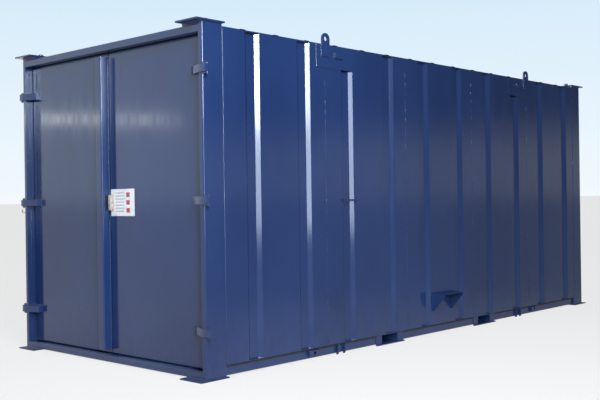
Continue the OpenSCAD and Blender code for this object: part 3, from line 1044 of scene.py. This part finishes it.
@dataclass
class Floor(Assembly):
    """Plywood sheets screwed down on the bearers."""

    sheets: int = 5
    joint: float = 0.002
    edge: float = 0.0012
    bearers: int = 11
    bearer_width: float = 0.050
    screw_radius: float = 0.0048
    screw_proud: float = 0.0012
    screws_across: int = 6
    screw_inset: float = 0.12
    rear_half: float = 1.127

    def build(self) -> None:
        """Lays the sheets, the last one cut between the rear posts."""
        low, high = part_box("floor_deck")
        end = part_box("side_wall_right")[1].y
        pitch = (end - low.y) / self.sheets
        boards = [
            BENCH.block(
                "sheet",
                (low.x, low.y + i * pitch + self.joint / 2, low.z),
                (high.x, low.y + (i + 1) * pitch - self.joint / 2, high.z),
                self.edge,
            )
            for i in range(self.sheets)
        ]
        boards.append(
            BENCH.block(
                "sheet",
                (-self.rear_half, end + self.joint / 2, low.z),
                (self.rear_half, high.y, high.z),
                self.edge,
            )
        )
        floor = BENCH.join("floor_sheets", boards)
        dress(floor, Body.CABIN, PLYWOOD)
        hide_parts("floor_deck")

    def dress(self) -> None:
        """Drives the screws in rows over the bearers."""
        low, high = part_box("floor_deck")
        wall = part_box("side_wall_right")
        gap = (wall[1].y - wall[0].y) / (self.bearers + 1)
        step = (high.x - low.x - 2 * self.screw_inset) / (self.screws_across - 1)
        start = wall[0].y + gap + self.bearer_width / 2
        first = BENCH.rod(
            "floor_screws",
            (low.x + self.screw_inset, start, high.z),
            Axis.Z,
            self.screw_proud,
            self.screw_radius,
            10,
        )
        row = BENCH.row(first, (step, 0, 0), self.screws_across)
        dress(BENCH.row(row, (0, gap, 0), self.bearers), Body.CABIN, ZINC)


@dataclass
class SideFittings(Assembly):
    """Weather hoods, hold-open bars and the stay hook."""

    def build(self) -> None:
        """Redraws the fittings with eased edges."""
        SteelPart("side_hoods", edge=0.001).finished()
        SteelPart("holding_bars", edge=0.002).finished()
        SteelPart("stay_hook", edge=0.0015).finished(ZINC)


@dataclass
class DoorLeaf(Assembly):
    """One leaf with its skin, frame, hinges and seal."""

    side: Side
    body: Body
    seam: float
    strap_half: float = 0.028
    strap_tip: float = 1.060
    end_weld: float = 0.004
    side_weld: float = 0.0035
    ear_half: float = 0.03976
    ear_reach: float = 0.011
    ear_weld: float = 0.003
    seal_thick: float = 0.005
    seal_wide: float = 0.013
    seal_edge: float = 0.0022
    seal_lines: tuple[float, float, float] = (1.148, 0.094, 2.485)

    @property
    def word(self) -> str:
        """The side's name, as the frame writes it."""
        return self.side.name.lower()

    def build(self) -> None:
        """Redraws the leaf's steel."""
        SteelPart(f"door_{self.word}_skin", self.body, edge=0.0012).finished()
        SteelPart(f"door_{self.word}_frame", self.body, edge=0.001).finished()
        SteelPart(f"hinge_straps_{self.word}", self.body, edge=0.0012).finished()
        SteelPart(f"hinge_pins_{self.word}", edge=0.001).finished()

    def dress(self) -> None:
        """Adds the seal behind the leaf and the fillets of its hinges."""
        low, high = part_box(f"door_{self.word}_frame")
        sign = self.side.value
        outer, bottom, top = self.seal_lines
        back = high.y
        half = self.seal_wide / 2
        near, far = sorted((self.seam, sign * (outer + half)))
        strips = [
            BENCH.block(
                "strip",
                (near, back, z - half),
                (far, back + self.seal_thick, z + half),
                self.seal_edge,
            )
            for z in (bottom, top)
        ]
        strips.append(
            BENCH.block(
                "strip",
                (sign * outer - half, back, bottom + half),
                (sign * outer + half, back + self.seal_thick, top - half),
                self.seal_edge,
            )
        )
        dress(BENCH.join(f"door_seal_{self.word}", strips), self.body, RUBBER)
        self.hinge_welds(sign)

    def hinge_welds(self, sign: int) -> None:
        """Adds the fillets round the straps' ends and under the ears.

        Args:
            sign: The side's sign along X.
        """
        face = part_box(f"door_{self.word}_skin")[0].y
        edge = abs(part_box(f"door_{self.word}_skin")[0 if sign < 0 else 1].x)
        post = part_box("side_wall_right")[1].x
        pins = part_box(f"hinge_pins_{self.word}")
        pivot = (pins[0].y + pins[1].y) / 2
        middle = sign * (self.strap_tip + edge) / 2
        reach = edge - self.strap_tip
        ends, ears = [], []
        for height in HINGE_HEIGHTS:
            tip = (sign * self.strap_tip, face, height)
            ends.append(BENCH.rod("end", tip, Axis.Z, 2 * self.strap_half, self.end_weld, 8))
            for up in (-1, 1):
                side = (middle, face, height + up * self.strap_half)
                ends.append(BENCH.rod("end", side, Axis.X, reach, self.side_weld, 8))
                ear = (sign * post, pivot, height + up * self.ear_half)
                ears.append(BENCH.rod("ear", ear, Axis.Y, 2 * self.ear_reach, self.ear_weld, 8))
        dress(BENCH.join(f"hinge_strap_welds_{self.word}", ends), self.body, WELD_ENAMEL)
        dress(BENCH.join(f"hinge_ear_welds_{self.word}", ears), Body.CABIN, WELD_ENAMEL)


@dataclass
class ClosingStile(Assembly):
    """The box section on the left leaf that covers the seam, and its lock keep."""

    slot_y: tuple[float, float] = (-2.936, -2.918)
    slot_z: tuple[float, float] = (1.236, 1.345)
    fold: float = 0.012
    edge: float = 0.0008
    bead: Point = (0.044, 0.005, 0.0045)
    bead_in: float = 0.004
    step: float = 0.060
    foot_gap: float = 0.04
    plate_gap: float = 0.03
    slot_sunk: float = 0.001
    slot_proud: float = 0.0004
    slot_edge: float = 0.0003

    def build(self) -> None:
        """Redraws the stile with round corners, and its plate."""
        SteelPart(
            "closing_stile", Body.LEFT_DOOR, Axis.Z, fold=self.fold, edge=self.edge
        ).finished()
        SteelPart("lock_plate", Body.LEFT_DOOR, edge=0.0006).finished()

    def dress(self) -> None:
        """Adds the line of weld behind the stile, and a dark block as painted shade in the bolt's
        slot.
        """
        low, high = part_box("closing_stile")
        plate_low, plate_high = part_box("lock_plate")
        rows = []
        spans = ((low.z + self.foot_gap, plate_low.z), (plate_high.z + self.plate_gap, high.z))
        for z0, z1 in spans:
            start = (high.x, high.y - self.bead_in, z0)
            first = BENCH.bead("run", start, Axis.Z, Axis.X, self.bead)
            rows.append(BENCH.row(first, (0, 0, self.step), int((z1 - z0) / self.step)))
        dress(BENCH.join("stile_seam_weld", rows), Body.LEFT_DOOR, WELD_ENAMEL)
        # painted shade: a near-black block just proud of the plate stands for the shade in the
        # bolt's slot
        slot = BENCH.block(
            "lock_slot_painted_shade",
            (plate_high.x - self.slot_sunk, self.slot_y[0], self.slot_z[0]),
            (plate_high.x + self.slot_proud, self.slot_y[1], self.slot_z[1]),
            self.slot_edge,
        )
        dress(slot, Body.LEFT_DOOR, DARK_STEEL)


@dataclass
class LockAndNotice(Assembly):
    """The lock's case and the notice plate behind it, on the right leaf."""

    square: float = 0.036
    square_wide: float = 0.046
    square_place: float = 0.228
    square_heights: tuple[float, float, float] = (1.350, 1.288, 1.226)
    rules: int = 7
    rule_from: float = 0.062
    rule_to: float = 0.176
    rule_step: float = 0.0245
    rule_up: tuple[float, float] = (0.034, 0.042)
    film: float = 0.0004
    film_edge: float = 0.0001
    rivet: tuple[float, float] = (0.005, 0.0045)
    rivet_left: float = 0.075
    rivet_in: float = 0.010
    rose: tuple[float, float] = (0.005, 0.013)
    rose_up: float = 0.040
    screw: tuple[float, float] = (0.003, 0.004)
    screw_in: float = 0.011
    barrel: tuple[float, float] = (0.005, 0.0075)
    barrel_out: float = 0.0015

    def build(self) -> None:
        """Redraws the case and the plate."""
        SteelPart("lock_case", Body.RIGHT_DOOR, edge=0.003).finished(ZINC)
        SteelPart("notice_plate", Body.RIGHT_DOOR, edge=0.0006).finished(
            NOTICE
        )

    def dress(self) -> None:
        """Adds plain marks and rivets to the plate, and the key barrel to the case."""
        low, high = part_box("notice_plate")
        face = low.y
        half, half_wide = self.square / 2, self.square_wide / 2
        centre = low.x + self.square_place
        squares = [
            BENCH.block(
                "square",
                (centre - half_wide, face - self.film, z - half),
                (centre + half_wide, face, z + half),
                self.film_edge,
            )
            for z in self.square_heights
        ]
        dress(BENCH.join("notice_squares", squares), Body.RIGHT_DOOR, MARK_RED)
        first = BENCH.block(
            "notice_rules",
            (low.x + self.rule_from, face - self.film, low.z + self.rule_up[0]),
            (low.x + self.rule_to, face, low.z + self.rule_up[1]),
            self.film_edge,
        )
        rules = BENCH.row(first, (0, 0, self.rule_step), self.rules)
        dress(rules, Body.RIGHT_DOOR, RULE_GREY)
        rivets = [
            BENCH.rod("rivet", (x, face, z), Axis.Y, *self.rivet, 10)
            for x in (low.x + self.rivet_left, high.x - self.rivet_in)
            for z in (low.z + self.rivet_in, high.z - self.rivet_in)
        ]
        dress(BENCH.join("notice_rivets", rivets), Body.RIGHT_DOOR, ZINC)
        self.key_barrel()

    def key_barrel(self) -> None:
        """Adds a rose, a barrel and two screws to the front of the lock's case."""
        low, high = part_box("lock_case")
        x = (low.x + high.x) / 2
        z = low.z + self.rose_up
        parts = [BENCH.rod("rose", (x, low.y, z), Axis.Y, *self.rose, 20)]
        for screw in (low.z + self.screw_in, high.z - self.screw_in):
            parts.append(BENCH.rod("screw", (x, low.y, screw), Axis.Y, *self.screw, 10))
        dress(BENCH.join("lock_rose", parts), Body.RIGHT_DOOR, ZINC)
        front = low.y - self.barrel_out
        barrel = BENCH.rod("lock_barrel", (x, front, z), Axis.Y, *self.barrel, 16)
        dress(barrel, Body.RIGHT_DOOR, DARK_STEEL)


# ---- studio ----------------------------------------------------------------


@dataclass(frozen=True)
class SoftLight:
    """A soft light panel that faces a point."""

    name: str
    place: Point
    aim: Point
    wide: float
    high: float
    power: float
    colour: str = "#ffffff"
    spread: float = 180.0

    def build(self) -> None:
        """Hangs the light."""
        lamp = bpy.data.lights.new(self.name, "AREA")
        lamp.spread = math.radians(self.spread)
        lamp.shape = "RECTANGLE"
        lamp.size, lamp.size_y = self.wide, self.high
        lamp.energy = self.power
        lamp.color = linear(self.colour)[:3]
        holder = bpy.data.objects.new(self.name, lamp)
        holder.location = self.place
        towards = Vector(self.aim) - Vector(self.place)
        holder.rotation_euler = towards.to_track_quat("-Z", "Y").to_euler()
        holder.visible_camera = False
        bpy.context.scene.collection.objects.link(holder)


@dataclass(frozen=True)
class Viewpoint:
    """Where the camera stands and how it is turned, in degrees."""

    place: Point = (6.07333, -7.19307, 1.29327)
    turn: float = 42.863
    tilt: float = -0.043
    roll: float = -0.815
    lens: float = 53.963

    def build(self) -> None:
        """Sets up the camera and makes it the scene's."""
        camera = bpy.data.cameras.new("viewpoint")
        camera.lens = self.lens
        camera.sensor_width = 36.0
        camera.clip_end = 4000.0
        holder = bpy.data.objects.new("viewpoint", camera)
        turned = Euler(
            (math.radians(90 + self.tilt), 0.0, math.radians(self.turn))
        ).to_matrix() @ Matrix.Rotation(math.radians(self.roll), 3, "Z")
        holder.matrix_world = Matrix.Translation(self.place) @ turned.to_4x4()
        bpy.context.scene.collection.objects.link(holder)
        bpy.context.scene.camera = holder


@dataclass
class Studio:
    """A pale floor that glows, a pale backdrop sky and soft panels."""

    floor_size: float = 3000.0
    floor_colour: str = "#606060"
    floor_down: float = -0.0005
    floor_seen: float = 0.745
    # glow of the floor away from the camera, from dim to bright: painted light
    floor_painted_glow: tuple[float, float] = (0.26, 0.8)
    from_key: Point = (-0.707, -0.707, 0.0)

    def build(self) -> None:
        """Lays the floor and hangs the lights and the camera."""
        BENCH.clear()
        bpy.ops.mesh.primitive_plane_add(size=self.floor_size, location=(0, 0, self.floor_down))
        floor = bpy.context.object
        floor.name = "studio_floor"
        made = bpy.data.materials.new("studio_floor_matt")
        made.use_nodes = True
        tree = made.node_tree
        tree.nodes.clear()
        place = add_node(tree, "TexCoord", give="Object")
        # the floor is no lamp but glows: even to the eye, and to reflections and the cabin a
        # painted light, dim at the rear right and bright at the front left
        forward = add_node(
            tree, "VectorMath", {0: place, 1: self.from_key}, operation="DOT_PRODUCT", give="Value"
        )
        dim, bright = self.floor_painted_glow
        cast = add_node(tree, "MapRange", {"Value": forward, 1: -5.0, 2: 5.0, 3: dim, 4: bright})
        to_eye = add_node(tree, "LightPath", give="Is Camera Ray")
        glow = add_node(
            tree, "Mix", {"Factor": to_eye, "A": cast, "B": self.floor_seen}, data_type="FLOAT"
        )
        shader = add_node(
            tree,
            "BsdfPrincipled",
            {
                "Base Color": linear(self.floor_colour),
                "Roughness": 0.9,
                "Emission Color": linear("#ffffff"),
                "Emission Strength": glow,
                "Specular IOR Level": 0.0,
            },
        )
        add_node(tree, "OutputMaterial", {"Surface": shader})
        floor.data.materials.append(made)
        key_aim = (1.2, -2.9, 1.9)
        for light in (
            SoftLight("key_panel", (10.9, -9.0, 4.6), key_aim, 2.0, 3.2, 290, "#e6f1ff", 80),
            SoftLight("key_spill", (11.8, -8.75, 2.8), key_aim, 4.1, 4.4, 150, "#e0eeff", 90),
            SoftLight("near_fill", (5.0, -4.6, 4.4), (0.9, -2.6, 2.0), 1.5, 1.5, 380),
            SoftLight("door_streak", (-10.5, -9.0, 3.05), (-0.3, -2.9, 1.9), 5.0, 0.2, 12),
            SoftLight("top_panel", (0.0, -1.0, 9.0), (0.0, 0.0, 1.0), 7.0, 9.0, 110),
        ):
            light.build()
        self.sky()
        bpy.context.scene.view_settings.view_transform = "Standard"
        Viewpoint().build()

    def sky(self) -> None:
        """Paints the surroundings: pale to the eye, and uneven as a yard is in a gloss."""
        world = bpy.data.worlds.new("studio_sky")
        world.use_nodes = True
        bpy.context.scene.world = world
        tree = world.node_tree
        tree.nodes.clear()
        way = add_node(tree, "TexCoord", give="Generated")
        height = add_node(tree, "SeparateXYZ", {0: way}, give="Z")
        seen = add_node(
            tree,
            "ValToRGB",
            {0: add_node(tree, "MapRange", {"Value": height, 1: -0.02, 2: 0.24})},
            [(0.0, linear("#f6fafd")), (0.35, linear("#e9f5fd")), (1.0, linear("#d3eafa"))],
        )
        door_side = self.lobe(tree, way, (-0.81, -0.58, 0.05), 0.45, 0.97)
        far_side = self.lobe(tree, way, (0.40, 0.91, 0.0), 0.6, 0.98)
        band = add_node(
            tree,
            "MapRange",
            {"Value": height, 1: 0.10, 2: 0.04, 3: 0.0, 4: 1.0},
            interpolation_type="SMOOTHSTEP",
        )
        haze = add_node(tree, "Math", {0: far_side, 1: band}, operation="MULTIPLY")
        lit = add_node(
            tree,
            "Mix",
            {"Factor": door_side, 6: (0.2, 0.23, 0.28, 1.0), 7: (1.28, 1.42, 1.48, 1.0)},
            data_type="RGBA",
            give=2,
        )
        for strength, colour in ((far_side, (0.09, 0.1, 0.13)), (haze, (0.6, 0.61, 0.63))):
            lit = add_node(
                tree,
                "Mix",
                {"Factor": strength, 6: lit, 7: (*colour, 1.0)},
                data_type="RGBA",
                give=2,
            )
        to_eye = add_node(tree, "LightPath", give="Is Camera Ray")
        colour = add_node(
            tree, "Mix", {"Factor": to_eye, 6: lit, 7: seen}, data_type="RGBA", give=2
        )
        glow = add_node(tree, "Background", {"Color": colour, "Strength": 1.0})
        add_node(tree, "OutputWorld", {"Surface": glow})

    def lobe(self, tree: Tree, way: Socket, towards: Point, start: float, full: float) -> Socket:
        """A soft patch of the surroundings.

        Args:
            tree: The world's node tree.
            way: The direction looked in.
            towards: The direction of the patch's middle.
            start: The cosine at which it starts.
            full: The cosine at which it is full.

        Returns:
            The patch's strength, from 0 to 1.
        """
        aim = tuple(Vector(towards).normalized())
        cosine = add_node(
            tree, "VectorMath", {0: way, 1: aim}, operation="DOT_PRODUCT", give="Value"
        )
        return add_node(
            tree, "MapRange", {"Value": cosine, 1: start, 2: full}, interpolation_type="SMOOTHSTEP"
        )


def main() -> None:
    """Builds the cabin's sub-assemblies in order, then the studio."""
    logging.basicConfig(level=logging.INFO, format="%(name)s: %(message)s")
    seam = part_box("door_right_skin")[0].x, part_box("door_left_skin")[1].x
    assemblies = (
        SteelFrame(),
        GroovedWalls(),
        Roof(),
        LiftingPoints(),
        Underframe(),
        Floor(),
        SideFittings(),
        DoorLeaf(Side.RIGHT, Body.RIGHT_DOOR, seam[0]),
        DoorLeaf(Side.LEFT, Body.LEFT_DOOR, seam[1]),
        ClosingStile(),
        LockAndNotice(),
    )
    for assembly in assemblies:
        assembly.build()
        assembly.dress()
    Studio().build()


if __name__ == "__main__":
    main()
